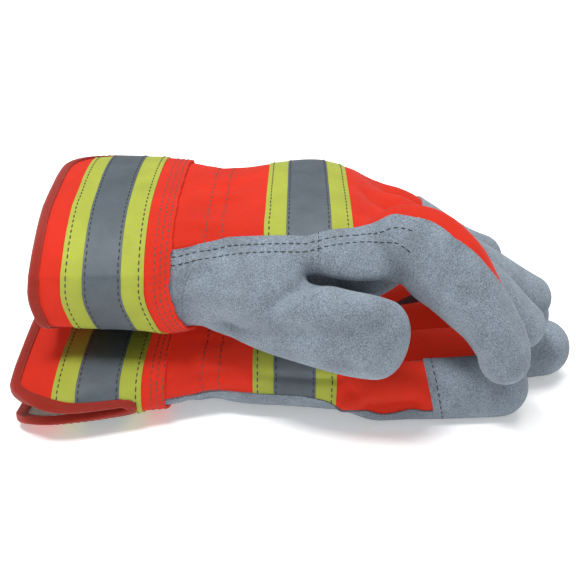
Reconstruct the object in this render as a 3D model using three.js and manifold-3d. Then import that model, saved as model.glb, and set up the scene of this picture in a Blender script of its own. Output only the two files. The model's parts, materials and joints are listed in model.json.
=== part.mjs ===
// A pair of leather-palm work gloves with safety cuffs, laid one on the other.
// The right glove lies palm down on the surface, and the left glove lies palm down on top of it.
// Millimetres, +Z up. X runs from the cuffs to the fingertips, and the left thumb is on the -Y side.

import * as THREE from "three";
import Module from "manifold-3d";
import { mergeVertices } from "three/addons/utils/BufferGeometryUtils.js";

const wasm = await Module();
wasm.setup();

// ---- Driving dimensions ----

const SECTION_POWER = 2.5; // a sleeve's section is a superellipse, a little squarer than an ellipse
const CLEAR = 0.3; // air between two neighbouring pieces
const FLOOR = 0; // the surface that the right glove lies on

const LEATHER = 2.2; // split cowhide with its backing
const CUFF_FABRIC = 1.6; // rubberised canvas
const LINING = 1.2;
const TAPE = 0.6;
const BINDING_WIDTH = 5.5;
const BINDING_STANDS_OUT = 1.6;
const BINDING_DEPTH = 5;

const SLIT_HALF = 1.2; // half the width of the slit in the cuff's little-finger side
const ELASTIC_WIDTH = 10;
const TAPE_WIDTH = 36;
const SILVER_WIDTH = 18;

// A sleeve is the cuff and the hand in one tube. Each station is
// [x, y, z, half width, half height, yaw in degrees, lean in degrees], from the hem to the finger roots.
// The cuff ends at station CUFF_END. Its layers are straight between grid sections, GRID of them to a station.
const CUFF_END = 2;
const GRID = 2;

// backPanel holds the two angles where the fabric back meets the leather, 0 at +Y and 90 on top,
// first at the cuff's end and then at each later station.
// cuffTape and cuffSilver are the stretches of the cuff's length, from the hem, that its two tapes cover.

// A finger's stations are [x, y, z, half width, half height], from root to tip.
// leather holds the two angles where its back panel meets the leather, at the root and at the leather cap,
// which starts cap millimetres from the root.
const LEFT = {
  name: "left",
  backPanel: [
    [-40, 146],
    [-40, 140],
    [-38, 141],
    [-36, 123],
    [-34, 102],
  ],
  elasticAt: -35.5,
  cuffTape: [0.23, 0.8],
  cuffSilver: [0.38, 0.64],
  tapeAt: -9,
  slit: { side: 1, z: 78, end: -62, cornerLength: 36, cornerHeight: 24, flat: false },
  sleeve: [
    [-110, 6, 67.5, 57, 29.5, 3, 6],
    [-78, 4, 68, 56.5, 30.5, 3, 1],
    [-46, 2, 68, 53, 31.5, 4, 1],
    [-24, 0, 70, 48, 28, 3, 0],
    [8, -2, 77.5, 51, 23.5, 0, 0],
    [28, -2, 76, 52, 20.5, -2, 0],
    [45, -2, 70.5, 51, 17.5, -3, 0],
  ],
  fingers: {
    index: {
      leather: [
        [30, 108],
        [56, 72],
      ],
      cap: 50,
      stations: [
        [48.5, -39, 81, 12, 19.5],
        [60, -41.5, 82.3, 12.3, 19.5],
        [69, -45, 77, 12.4, 18.5],
        [80, -50, 66, 12.6, 14.8],
        [88, -53.5, 56, 12.5, 12.8],
        [93.5, -56.5, 45, 12.5, 11.8],
        [93, -57, 31, 11, 10.5],
      ],
    },
    middle: {
      leather: [
        [25, 155],
        [25, 155],
      ],
      cap: 18,
      stations: [
        [46.5, -14, 73, 12.4, 14],
        [68, -17, 67, 12.6, 13.5],
        [88, -19, 55, 12.6, 12.5],
        [103, -20, 41, 12.5, 11],
        [113, -20, 31, 12, 10],
      ],
    },
    ring: {
      leather: [
        [25, 155],
        [25, 155],
      ],
      cap: 14,
      stations: [
        [46.5, 12, 71.5, 12.4, 13.5],
        [68, 13.5, 61, 12.4, 13],
        [90, 15, 48, 12.4, 11.5],
        [110, 15, 37, 12.2, 9],
        [122, 15, 31, 12, 8],
      ],
    },
    little: {
      leather: [
        [25, 155],
        [25, 155],
      ],
      cap: 12,
      stations: [
        [46.5, 37.5, 68, 11.8, 13],
        [60, 39, 60.5, 11.8, 12.5],
        [74, 41, 50.5, 11.8, 12],
        [88, 42, 43, 11.5, 11],
        [101, 42, 39, 11, 10],
      ],
    },
  },
  thumb: {
    across: [0, 0, 1],
    stations: [
      [-37, -43, 62, 17, 11],
      [-10, -54, 61, 20, 13],
      [14, -61, 58, 20, 12.5],
      [34, -64, 55.5, 19, 12],
      [51, -64, 52, 16, 11],
    ],
  },
};

const RIGHT = {
  name: "right",
  backPanel: [
    [38, 190],
    [38, 190],
    [38, 192],
    [40, 198],
    [42, 200],
  ],
  elasticAt: -36,
  cuffTape: [0.31, 0.88],
  cuffSilver: [0.46, 0.74],
  tapeAt: -12.5,
  slit: { side: -1, z: 13, end: -66, cornerLength: 34, cornerHeight: 16, flat: true },
  sleeve: [
    [-117, 1, 16.5, 66, 15.5, 6, 0],
    [-86, 0, 17, 61, 16, 7, 0],
    [-51, 0.5, 18, 50, 17, 7, 0],
    [-25, 1.5, 19, 44, 19.5, 5, 0],
    [8, -1.5, 23, 49.5, 24.5, 3, 0],
    [28, -3, 20.5, 51.5, 22, 2, 0],
    [45, -3.5, 16.5, 49.5, 18, 1, 0],
  ],
  fingers: {
    little: {
      leather: [
        [25, 200],
        [25, 203],
      ],
      cap: 20,
      stations: [
        [46.5, -37.2, 14, 12.1, 13.5],
        [70, -36, 14, 12.6, 14],
        [90, -34, 14, 12.6, 14],
        [108, -32.5, 13.5, 12.5, 13],
      ],
    },
    ring: {
      leather: [
        [25, 155],
        [25, 155],
      ],
      cap: 38,
      stations: [
        [46.5, -12.4, 15, 12.2, 14.5],
        [76, -8, 15, 12.8, 14.5],
        [106, 0, 14.5, 13, 14],
        [131, 5, 13, 12.5, 12.5],
      ],
    },
    middle: {
      leather: [
        [25, 155],
        [25, 155],
      ],
      cap: 42,
      stations: [
        [46.5, 12.4, 15, 12.1, 14.5],
        [76, 21.5, 15, 12.8, 14.5],
        [106, 32, 14.5, 13, 14],
        [124, 38, 13, 12.5, 12.5],
      ],
    },
    index: {
      leather: [
        [62, 150],
        [62, 100],
      ],
      cap: 40,
      stations: [
        [46.5, 37, 14, 12, 13.5],
        [72, 50.5, 14, 12.6, 14],
        [96, 62, 14, 12.5, 13],
        [112, 68, 13, 12, 12],
      ],
    },
  },
  thumb: {
    across: [0, 1, 0],
    stations: [
      [-28, 42, 17, 13, 14],
      [-5, 56, 15.5, 13, 13],
      [18, 69, 15, 13, 13],
      [38, 77, 14.5, 12.5, 12.5],
      [51, 81, 14, 12, 12],
    ],
  },
};

const COLOURS = {
  orange: [0xf6401f, 0.7],
  binding: [0xb52a18, 0.75],
  lime: [0xc6d83a, 0.65],
  silver: [0x6f7a83, 0.45],
  leather: [0x8f9ca6, 0.9],
  lining: [0xd9d6cc, 0.95],
  elastic: [0xc9c9c4, 0.9],
};

// ---- Splines and frames ----

const radians = THREE.MathUtils.degToRad;
const degrees = THREE.MathUtils.radToDeg;

// A Catmull-Rom curve through the stations' columns, at u in station units.
function spline(stations, u) {
  const last = stations.length - 1;
  const i = Math.min(Math.floor(THREE.MathUtils.clamp(u, 0, last)), last - 1);
  const f = THREE.MathUtils.clamp(u, 0, last) - i;
  return stations[0].map((_, k) => {
    const b = stations[i][k];
    const c = stations[i + 1][k];
    const a = i > 0 ? stations[i - 1][k] : 2 * b - c;
    const d = i + 2 <= last ? stations[i + 2][k] : 2 * c - b;
    return (
      0.5 *
      (2 * b + (c - a) * f + (2 * a - 5 * b + 4 * c - d) * f * f + (3 * b - a - 3 * c + d) * f ** 3)
    );
  });
}

// Straight between the entries of a table, at u entries along it.
function straight(table, u) {
  const i = Math.min(Math.floor(THREE.MathUtils.clamp(u, 0, table.length - 1)), table.length - 2);
  return table[i].map((value, k) => THREE.MathUtils.lerp(value, table[i + 1][k], u - i));
}

const placeOf = (station) => new THREE.Vector3(station[0], station[1], station[2]);

// The length along the stations' straight chords, from the first station to each one.
function chordLengths(stations) {
  const lengths = [0];
  for (let i = 1; i < stations.length; i++)
    lengths.push(lengths[i - 1] + placeOf(stations[i]).distanceTo(placeOf(stations[i - 1])));
  return lengths;
}

// Station units where a rising column of values reaches a value.
function unitsWhere(values, value) {
  const i = Math.max(1, values.findIndex((v, k) => k > 0 && (v >= value || k === values.length - 1)));
  return i - 1 + (value - values[i - 1]) / (values[i] - values[i - 1]);
}

// A sleeve's sections at every grid step, so that all of its layers share the same straight stretches.
const gridOf = new Map();
function sleeveSection(stations, u) {
  if (!gridOf.has(stations)) {
    const count = (stations.length - 1) * GRID;
    gridOf.set(stations, Array.from({ length: count + 1 }, (_, i) => spline(stations, i / GRID)));
  }
  return straight(gridOf.get(stations), u * GRID);
}

// The section frame of a sleeve: yaw turns it about Z, and lean tips its top towards the fingers.
function sleeveFrame(stations, u) {
  const [x, y, z, w, h, yaw, lean] = sleeveSection(stations, u);
  const across = new THREE.Vector3(Math.sin(radians(yaw)), Math.cos(radians(yaw)), 0);
  const up = new THREE.Vector3(Math.sin(radians(lean)), 0, Math.cos(radians(lean)));
  return { centre: new THREE.Vector3(x, y, z), across, up, w, h };
}

// The section frame of a finger, with its width along the across direction.
// The root's section faces along X, and from UPRIGHT millimetres on the sections are square to the path.
const UPRIGHT = 18;
function fingerFrame(stations, u, acrossHint, length) {
  const step = 0.02;
  const [x, y, z, w, h] = spline(stations, u);
  const path = placeOf(spline(stations, u + step)).sub(placeOf(spline(stations, u - step))).normalize();
  const along = new THREE.Vector3(1, 0, 0).lerp(path, Math.min(1, length / UPRIGHT)).normalize();
  const across = new THREE.Vector3(...acrossHint);
  across.addScaledVector(along, -across.dot(along)).normalize();
  const up = new THREE.Vector3().crossVectors(along, across);
  return { centre: new THREE.Vector3(x, y, z), across, up, w, h };
}

// ---- Solids ----

const RING_HOLE = 0.96; // inner radius of a unit ring outline, whose radius stands for depth under the surface

function ringOutline(from, to) {
  const shape = new THREE.Shape();
  shape.absarc(0, 0, 1, radians(from), radians(to), false);
  shape.absarc(0, 0, RING_HOLE, radians(to), radians(from), true);
  return shape;
}

function discOutline(from, to) {
  const shape = new THREE.Shape();
  shape.absarc(0, 0, 1, radians(from), radians(to), false);
  return shape;
}

// Extrudes a unit outline through the stops and bends it: place(x, y, stop) gives each corner's point.
function bentExtrusion(outline, curveSegments, stops, place) {
  const settings = { depth: 1, steps: stops.length - 1, curveSegments, bevelEnabled: false };
  const geometry = new THREE.ExtrudeGeometry(outline, settings);
  const position = geometry.getAttribute("position");
  for (let i = 0; i < position.count; i++) {
    const stop = stops[Math.round(position.getZ(i) * (stops.length - 1))];
    const p = place(position.getX(i), position.getY(i), stop);
    position.setXYZ(i, p.x, p.y, p.z);
  }
  geometry.deleteAttribute("normal");
  geometry.deleteAttribute("uv");
  return mergeVertices(geometry, 1e-3);
}

// The ends of a stretch of a sleeve, and every grid step between them.
function gridStops(from, to) {
  const nearest = 0.02; // a grid step this close to an end is left out
  const stops = [from];
  for (let i = Math.ceil((from + nearest) * GRID); i / GRID < to - nearest; i++) stops.push(i / GRID);
  return [...stops, to];
}

const squared = (v) => Math.sign(v) * Math.abs(v) ** (2 / SECTION_POWER);

// A point of a sleeve at an angle in radians and a depth under its outer surface.
function sleevePoint(stations, u, angle, depth) {
  const { centre, across, up, w, h } = sleeveFrame(stations, u);
  return centre
    .addScaledVector(across, (w - depth) * squared(Math.cos(angle)))
    .addScaledVector(up, (h - depth) * squared(Math.sin(angle)));
}

// An outline's angle, carried from the outline's own range in degrees to another range.
function turnInto(angle, [start, end], [from, to]) {
  const past = THREE.MathUtils.euclideanModulo(degrees(angle) - start + 1, 360) - 1;
  return radians(from + (past / (end - start)) * (to - from));
}

// A panel of a sleeve between two depths under its outer surface, over a stretch of station units.
// A negative depth stands out of the surface. Under the right glove it lies flat on the floor.
// panelAt gives the angles that the outline's own two ends are turned to, at u.
function sleevePanel(stations, stretch, [outer, inner], { outline, segments, panelAt }) {
  return bentExtrusion(outline, segments, gridStops(...stretch), (x, y, u) => {
    const radius = Math.hypot(x, y);
    const depth = outer + ((1 - radius) / (1 - RING_HOLE)) * (inner - outer);
    const angle = turnInto(Math.atan2(y, x), panelAt(CUFF_END), panelAt(u));
    const point = sleevePoint(stations, u, angle, depth);
    point.z = Math.max(point.z, FLOOR + depth);
    return point;
  });
}

// A finger, or a stretch of it in millimetres from its root, rounded at the root and at the tip.
// panels holds the angles that the outline's own two ends are turned to, at the start and at the end.
function fingerSolid(stations, [from, to], { outline, segments, panels, steps, across: hint, rootRounding }) {
  const total = chordLengths(stations).at(-1);
  const tipRounding = stations.at(-1)[4];
  const smallest = 0.12;
  const roundness = (distance, radius) =>
    distance >= radius ? 1 : Math.sqrt(Math.max(smallest ** 2, 1 - (1 - distance / radius) ** 2));
  const toTip = to >= total;
  const stops = Array.from({ length: steps + 1 }, (_, i) => {
    const share = toTip ? Math.sin((i / steps) * (Math.PI / 2)) : i / steps;
    return from + (to - from) * share;
  });
  if (from === 0) stops.splice(1, 0, rootRounding * 0.3);
  return bentExtrusion(outline, segments, stops, (x, y, length) => {
    const u = unitsWhere(chordLengths(stations), length);
    const { centre, across, up, w, h } = fingerFrame(stations, u, hint, length);
    const rounded = roundness(total - length, tipRounding);
    const rootInset = rootRounding * (1 - roundness(length, rootRounding));
    let angle = Math.atan2(y, x);
    if (panels) angle = turnInto(angle, panels[0], straight(panels, (length - from) / (to - from)));
    const point = centre
      .addScaledVector(across, (w * rounded - rootInset) * Math.hypot(x, y) * Math.cos(angle))
      .addScaledVector(up, (h * rounded - rootInset) * Math.hypot(x, y) * Math.sin(angle));
    point.z = Math.max(point.z, FLOOR);
    return point;
  });
}

function toSolid(geometry) {
  return new wasm.Manifold(
    new wasm.Mesh({
      numProp: 3,
      vertProperties: geometry.getAttribute("position").array,
      triVerts: new Uint32Array(geometry.index.array),
    }),
  );
}

// The largest body of a solid, as a geometry.
function toGeometry(solid) {
  const largest = solid.decompose().sort((a, b) => b.volume() - a.volume())[0];
  const { vertProperties, triVerts } = largest.getMesh();
  const geometry = new THREE.BufferGeometry();
  geometry.setAttribute("position", new THREE.BufferAttribute(new Float32Array(vertProperties), 3));
  return geometry.setIndex(new THREE.BufferAttribute(new Uint32Array(triVerts), 1));
}

// The inside of a sleeve from a depth under its surface, cut off flat above the floor.
function filledSleeve(stations, stretch, depth) {
  const solid = toSolid(
    bentExtrusion(discOutline(0, 360), SLEEVE_SEGMENTS, gridStops(...stretch), (x, y, u) =>
      sleevePoint(stations, u, Math.atan2(y, x), depth),
    ),
  );
  return solid.trimByPlane([0, 0, 1], FLOOR + CUFF_REST + depth);
}

// A layer all the way round a sleeve, between two depths under its surface.
function sleeveRing(stations, [first, last], [outer, inner]) {
  const beyond = 0.03;
  const inside = filledSleeve(stations, [first - beyond, last + beyond], inner);
  return filledSleeve(stations, [first, last], outer).subtract(inside);
}

function prismAlongZ(shape, depth) {
  const geometry = new THREE.ExtrudeGeometry(shape, { depth, curveSegments: 4, bevelEnabled: false });
  geometry.deleteAttribute("normal");
  geometry.deleteAttribute("uv");
  return toSolid(mergeVertices(geometry, 1e-3));
}

// Outside a rounded corner: the hem is at x = 0, the corner's other edge is at y = 0, and the cuff is at +X +Y.
// The corner is grown by an amount into the cuff.
function cornerCut({ cornerLength, cornerHeight }, grow, far) {
  const along = cornerLength - grow;
  const high = cornerHeight - grow;
  const shape = new THREE.Shape();
  shape.moveTo(-far, -far);
  shape.lineTo(grow + along, -far);
  shape.lineTo(grow + along, grow);
  shape.absellipse(grow + along, grow + high, along, high, 1.5 * Math.PI, Math.PI, true);
  shape.lineTo(-far, grow + high);
  return shape;
}

// What the slit in a cuff's little-finger side and the round corners beside it take away, grown by an amount.
function slitCut({ sleeve, slit }, grow) {
  const far = 100;
  const { side, z, end, flat } = slit;
  const y = sleeve[0][1];
  const edge = sleevePoint(sleeve, 0, side > 0 ? 0 : Math.PI, 0);
  const half = SLIT_HALF + grow;
  const channel = new THREE.Shape();
  channel.moveTo(edge.x - far, half);
  channel.lineTo(end, half);
  channel.absarc(end, 0, half, Math.PI / 2, -Math.PI / 2, true);
  channel.lineTo(edge.x - far, -half);
  // A prism along Z, stood up: its shape's y becomes z, and it runs from the cuff's middle out past its side.
  const stood = (shape) => prismAlongZ(shape, far).rotate([90, 0, 0]).translate([0, side > 0 ? y + far : y, z]);
  let cut = stood(channel);
  if (flat) {
    // a flat cuff's corner is round as seen from above
    const corner = cornerCut(slit, grow, far);
    return cut.add(prismAlongZ(corner, far).translate([edge.x, edge.y, 0]));
  }
  const corner = cornerCut(slit, grow, SLIT_HALF);
  const upper = stood(corner).translate([edge.x, 0, SLIT_HALF]);
  const lower = stood(corner).mirror([0, 0, 1]).translate([edge.x, 0, 2 * z - SLIT_HALF]);
  return cut.add(upper).add(lower);
}

// ---- The gloves ----

const pair = new THREE.Group();

function add(name, geometry, colour) {
  const [hex, roughness] = COLOURS[colour];
  const material = new THREE.MeshStandardMaterial({ color: hex, roughness, metalness: 0 });
  geometry.computeVertexNormals();
  const mesh = new THREE.Mesh(geometry, material);
  mesh.name = name;
  pair.add(mesh);
}

const LIME_DEPTHS = [-CLEAR - TAPE, -CLEAR];
const SILVER_DEPTHS = [2 * LIME_DEPTHS[0], LIME_DEPTHS[0] - CLEAR];
const CUFF_LINING_DEPTHS = [CUFF_FABRIC + CLEAR, CUFF_FABRIC + CLEAR + LINING];
const PALM_LINING_DEPTHS = [LEATHER + CLEAR, LEATHER + CLEAR + LINING];
const BINDING_DEPTHS = [-BINDING_STANDS_OUT, BINDING_DEPTH - BINDING_STANDS_OUT];

const SLEEVE_SEGMENTS = 11; // per half turn
const PANEL_SEGMENTS = 13; // across the back, and across the palm
const CUFF_REST = -SILVER_DEPTHS[0]; // the cuff's fabric lies on its own tapes

// The cuff: outer fabric, lining, bound edge, and the lime and silver reflective tapes round it.
function addCuff(glove) {
  const { name, sleeve, cuffTape, cuffSilver } = glove;
  const length = chordLengths(sleeve)[CUFF_END];
  const at = (share) => unitsWhere(chordLengths(sleeve), share * length);
  const ring = (range, depths) => sleeveRing(sleeve, range.map(at), depths);
  const seam = 1 - CLEAR / length;
  const hem = BINDING_WIDTH / length;
  const body = [hem + CLEAR / length, seam];
  const keepOut = slitCut(glove, BINDING_WIDTH + CLEAR);
  const edge = ring([0, seam], BINDING_DEPTHS).intersect(slitCut(glove, BINDING_WIDTH));
  const binding = ring([0, hem], BINDING_DEPTHS).add(edge).subtract(slitCut(glove, 0));
  const pieces = [
    ["cuff_shell", ring(body, [0, CUFF_FABRIC]).subtract(keepOut), "orange"],
    ["cuff_lining", ring(body, CUFF_LINING_DEPTHS).subtract(keepOut), "lining"],
    ["cuff_binding", binding, "binding"],
    ["cuff_tape_lime", ring(cuffTape, LIME_DEPTHS).subtract(keepOut), "lime"],
    ["cuff_tape_silver", ring(cuffSilver, SILVER_DEPTHS).subtract(keepOut), "silver"],
  ];
  for (const [piece, solid, colour] of pieces) add(`${name}_${piece}`, toGeometry(solid), colour);
}

// The hand: fabric back, leather palm with its lining, wrist elastic, and the tapes over the knuckles.
function addHand({ name, sleeve, backPanel, elasticAt, tapeAt }) {
  const last = sleeve.length - 1;
  const narrow = sleeve.at(-1)[4];
  const gap = degrees(CLEAR / narrow);
  const xs = sleeve.map((station) => station[0]);
  const stretch = (start, width) => [unitsWhere(xs, start), unitsWhere(xs, start + width)];
  const panelAt = (u) => straight(backPanel, u - CUFF_END);
  const palmAt = (u) => [panelAt(u)[1] + gap, panelAt(u)[0] + 360 - gap];
  const back = { outline: ringOutline(...panelAt(CUFF_END)), segments: PANEL_SEGMENTS, panelAt };
  const palm = { outline: ringOutline(...palmAt(CUFF_END)), segments: PANEL_SEGMENTS, panelAt: palmAt };
  const silverAt = tapeAt + (TAPE_WIDTH - SILVER_WIDTH) / 2;
  const pieces = [
    ["hand_back", [CUFF_END, last], [0, LEATHER], back, "orange"],
    ["palm", [CUFF_END, last], [0, LEATHER], palm, "leather"],
    ["palm_lining", [CUFF_END, last], PALM_LINING_DEPTHS, palm, "lining"],
    ["wrist_elastic", stretch(elasticAt, ELASTIC_WIDTH), PALM_LINING_DEPTHS, back, "elastic"],
    ["knuckle_tape_lime", stretch(tapeAt, TAPE_WIDTH), LIME_DEPTHS, back, "lime"],
    ["knuckle_tape_silver", stretch(silverAt, SILVER_WIDTH), SILVER_DEPTHS, back, "silver"],
  ];
  for (const [piece, range, depths, panel, colour] of pieces)
    add(`${name}_${piece}`, sleevePanel(sleeve, range, depths, panel), colour);
}

// A finger: leather front and sides, fabric back, and a leather cap over the tip.
function addFinger(glove, finger, { leather, cap, stations }) {
  const gap = degrees(CLEAR / stations.at(-1)[4]);
  const total = chordLengths(stations).at(-1);
  const body = [0, cap - CLEAR];
  const name = `${glove}_${finger}`;
  const common = { across: [0, 1, 0], rootRounding: 4 };
  const front = leather.map(([from, to]) => [to + gap, from + 360 - gap]);
  const panel = (panels, segments) => ({ outline: discOutline(...panels[0]), segments, panels, steps: 6, ...common });
  const whole = { outline: discOutline(0, 360), segments: 7, steps: 7, ...common, rootRounding: 0 };
  add(`${name}_front`, fingerSolid(stations, body, panel(front, 5)), "leather");
  add(`${name}_back`, fingerSolid(stations, body, panel(leather, 4)), "orange");
  add(`${name}_tip`, fingerSolid(stations, [cap, total], whole), "leather");
}

// The thumb's two leather halves, cut to lie against both sleeves.
function addThumb({ name, thumb }, sleeves) {
  const { stations, across } = thumb;
  const total = chordLengths(stations).at(-1);
  const gap = degrees(CLEAR / stations.at(-1)[4]);
  const common = { segments: 4, steps: 9, across, rootRounding: stations[0][4] };
  const halves = { front: [180 + gap, 360 - gap], back: [0, 180] };
  for (const [half, angles] of Object.entries(halves)) {
    let solid = toSolid(fingerSolid(stations, [0, total], { outline: discOutline(...angles), ...common }));
    for (const sleeve of sleeves)
      solid = solid.subtract(filledSleeve(sleeve, [0, sleeve.length - 1], -2 * CLEAR));
    add(`${name}_thumb_${half}`, toGeometry(solid), "leather");
  }
}

for (const glove of [RIGHT, LEFT]) {
  addCuff(glove);
  addHand(glove);
  for (const [finger, shape] of Object.entries(glove.fingers)) addFinger(glove.name, finger, shape);
  addThumb(glove, [RIGHT.sleeve, LEFT.sleeve]);
}

// The part's origin is the middle of its base.
const bounds = new THREE.Box3().setFromObject(pair);
const middle = bounds.getCenter(new THREE.Vector3());
pair.position.set(-middle.x, -middle.y, -bounds.min.z);

export default pair;
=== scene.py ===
"""Looks for the pair of work gloves: a right glove lying palm down and a left glove lying on it.

Shapes are worked out in millimetres, in the tables' own frame, and put in metres in the row frame at the end.
A skin is a triangle mesh with named values at its points. Each glove has a skin for its cuff, its hand, each
finger and its thumb. A skin is cut exactly along the lines where a value passes a level, and the pieces are
thickened into panels of leather, fabric and tape, so that every border has a real edge.
"""

import itertools
import json
import math

import bpy
import numpy as np
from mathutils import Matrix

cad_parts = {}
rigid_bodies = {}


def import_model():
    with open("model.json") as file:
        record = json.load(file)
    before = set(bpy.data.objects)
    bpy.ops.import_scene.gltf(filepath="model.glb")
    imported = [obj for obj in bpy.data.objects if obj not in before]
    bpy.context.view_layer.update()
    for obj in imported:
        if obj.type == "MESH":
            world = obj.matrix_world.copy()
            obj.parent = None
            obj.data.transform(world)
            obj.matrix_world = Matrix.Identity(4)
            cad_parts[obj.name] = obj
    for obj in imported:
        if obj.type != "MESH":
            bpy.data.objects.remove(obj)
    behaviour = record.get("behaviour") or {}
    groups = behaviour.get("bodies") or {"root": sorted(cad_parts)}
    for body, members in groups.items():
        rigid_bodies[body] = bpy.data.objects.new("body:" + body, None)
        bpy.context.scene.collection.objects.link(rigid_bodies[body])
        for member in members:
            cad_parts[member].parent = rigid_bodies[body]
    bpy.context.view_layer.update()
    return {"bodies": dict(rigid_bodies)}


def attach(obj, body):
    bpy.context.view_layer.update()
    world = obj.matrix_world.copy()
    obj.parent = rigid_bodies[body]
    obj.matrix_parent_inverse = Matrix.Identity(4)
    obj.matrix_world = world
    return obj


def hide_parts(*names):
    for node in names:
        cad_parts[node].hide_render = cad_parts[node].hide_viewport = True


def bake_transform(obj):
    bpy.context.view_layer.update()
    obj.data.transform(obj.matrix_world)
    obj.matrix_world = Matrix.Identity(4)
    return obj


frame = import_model()

MM = 0.001
PART_ORIGIN = np.array([4.33, 6.76, 0.0])  # the row frame's origin, in the frame of the tables

# ---- Dimensions, in millimetres ----

SKIN_INSET = 0.9  # a hand's skin lies this far under the surface that its table describes
STEP = 1.2  # grid step of the hand, finger and thumb skins
SECTION_POWER = 2.5  # a sleeve's section is a superellipse, a little squarer than an ellipse

FABRIC = (-0.6, 0.3)  # depth range of each layer, from inside to outside of the skin
LEATHER = (-0.9, 1.2)
LIME = (0.2, 0.7)
SILVER = (0.6, 0.9)
LINING = (-1.7, -1.1)
ELASTIC = (-1.0, -0.7)
CUFF_FABRIC = (-0.4, 0.7)
CUFF_LINING = (-1.4, -0.7)
CUFF_LIME = (0.6, 1.2)
CUFF_SILVER = (1.1, 1.4)
BINDING = (-2.2, 1.7)
BINDING_WIDTH = 5.0

TAPE_WIDTH = 36.0
SILVER_WIDTH = 18.0
CLOTH_UNDER_LEATHER = 1.0  # how far the cloth goes on under the leather's edge
BORDER_ROWS = (-5.8, -12.0)  # stitch rows in the leather, from its edge
SEAM_ROWS = (2.0, 4.4, 7.0)  # stitch rows in the cuff, from its seam
CUFF_ROWS_INSET = (2.2, 1.2)  # stitch rows in the lime and in the silver tape, from the tape's edge
KNUCKLE_ROWS_INSET = (2.0, 1.0)
ROUNDING_CUTS = (0.35, 0.9, 1.8)  # the binding's edge is round as far as the last of these
KNUCKLE_BLEND = 9.0  # radius of the shoulder between a finger and the hand
HAND_FADE = 40.0  # past the knuckles a finger's skin leaves the hand out, by lifting its field this much
LEAST_SHOWN = 0.12  # a finger's skin shows where it stands this far out of the hand's
GROOVE_NARROWING = 0.45  # a groove's section is this many times as high as it is deep
TUCK_REACH = 6.0  # how far past the cuff's seam the hand stays drawn in
CUFF_END = 2  # station where the cuff ends and the hand starts

# ---- The two gloves ----

# A sleeve station is (x, y, z, half width, half height, yaw, lean), and a finger station has the first five.
# "back" holds the angles between which the back is cloth, 0 at +Y and 90 on top: for a hand (low, high) from
# the cuff's end on, and for a finger (length from its root, low, high). The leather cap starts "cap" from the
# root. "tapes" are the edges of the cuff's tapes along x, "tape" is where the knuckle tape starts, and "skew"
# moves the cuff along x, as (angle, at its hem, at its seam). A crease is (path, height, width).

LEFT = {
    "name": "left",
    "side": 1,
    "sleeve": [
        (-110, 6, 67.5, 57, 29.5, 3, 6), (-78, 4, 68, 56.5, 30.5, 3, 1), (-46, 2, 68, 53, 31.5, 4, 1),
        (-24, 0, 70, 48, 28, 3, 0), (8, -2, 77.5, 51, 23.5, 0, 0), (28, -2, 76, 52, 20.5, -2, 0),
        (45, -2, 70.5, 51, 17.5, -3, 0),
    ],
    "back": [(-40, 146), (-40, 138), (-38, 143), (-36, 126), (-34, 106)],
    "tape": -9,
    "elastic": (-33.6, -26.9),
    "slit": {"angle": 34, "end": -64, "corner": (42, 34), "open": 1.5},
    "tapes": (-95.3, -85.8, -68.9, -58.9),
    "seam": -47.5,
    "thumb_seam": 12.7,
    "groove": (
        [
            (11, -57, 70.5), (24, -51, 68.5), (38, -47, 67.5), (45, -46, 62), (53, -46, 54.5),
            (66, -46, 46),
        ],
        9.5,
    ),
    "creases": [
        ([(-26, -58, 54), (1, -71, 58), (24, -75, 61), (38, -76, 64)], -4.0, 7.0),
        ([(11, -56, 80), (-1, -64, 78), (-8, -67, 71)], -4.6, 5.0),
        ([(37, 5, 94), (43, -5, 93), (50, -18, 92)], -1.4, 5.0),
        ([(-40, -30, 96), (-10, -34, 97)], 0.8, 6.0),
    ],
    "rows_end": 53,
    "rows_side": -1,
    "skew": [
        (0, 3, 0), (60, 3, 0), (110, 0, 0), (178, 0, 0), (205, 4, 5), (232, 7, 9), (270, 7, 8),
        (360, 3, 0),
    ],
    "fingers": {
        "index": {
            "back": [
                (0, 30, 106), (10, 30, 111), (21, 30, 121), (33, 38, 127), (47, 50, 115), (63, 64, 91),
                (71, 74, 78),
            ],
            "cap": 71,
            "rows_end": 53,
            "stations": [
                (36, -31.5, 80, 12.5, 16), (46, -33, 82.5, 13.5, 19.5), (57, -35.5, 84, 13.6, 20.5),
                (68.5, -43, 78, 13.2, 19), (80, -49.5, 66, 12.8, 15), (88, -53.5, 56, 12.5, 12.4),
                (93.5, -56.5, 45, 12.2, 11.5), (93.5, -57, 31, 11, 10),
            ],
        },
        "middle": {
            "back": [(0, 25, 155), (60, 25, 155)],
            "cap": 32,
            "stations": [
                (30, -13, 77, 12.5, 14), (48, -13, 77, 12.8, 15), (68, -17, 67, 12.8, 13.5),
                (88, -19, 55, 12.8, 12.5), (103, -20, 41, 12.5, 11), (113, -20, 31, 12, 10),
            ],
        },
        "ring": {
            "back": [(0, 25, 155), (60, 25, 155)],
            "cap": 30,
            "stations": [
                (30, 12, 75, 12.5, 14), (48, 12.5, 73.5, 12.8, 14), (68, 13.5, 61, 12.6, 13),
                (90, 15, 48, 12.6, 11.5), (110, 15, 37, 12.2, 9), (122, 15, 31, 12, 8),
            ],
        },
        "little": {
            "back": [(0, 25, 155), (60, 25, 155)],
            "cap": 28,
            "stations": [
                (30, 36, 72, 11.8, 13), (48, 37.5, 67.5, 12, 13), (60, 39, 60.5, 12, 12.5),
                (74, 41, 50.5, 12, 12), (88, 42, 43, 11.5, 11), (101, 42, 39, 11, 10),
            ],
        },
    },
    "thumb": {
        "across": (0, 0, 1),
        "free": 14,
        "stations": [
            (-37, -40, 62.5, 16.5, 11), (-10, -53, 62.5, 18.5, 13), (14, -61, 59, 19, 12.5),
            (34, -64, 55.5, 19, 12.5), (51, -64, 52, 16, 11.5),
        ],
    },
}

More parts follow.
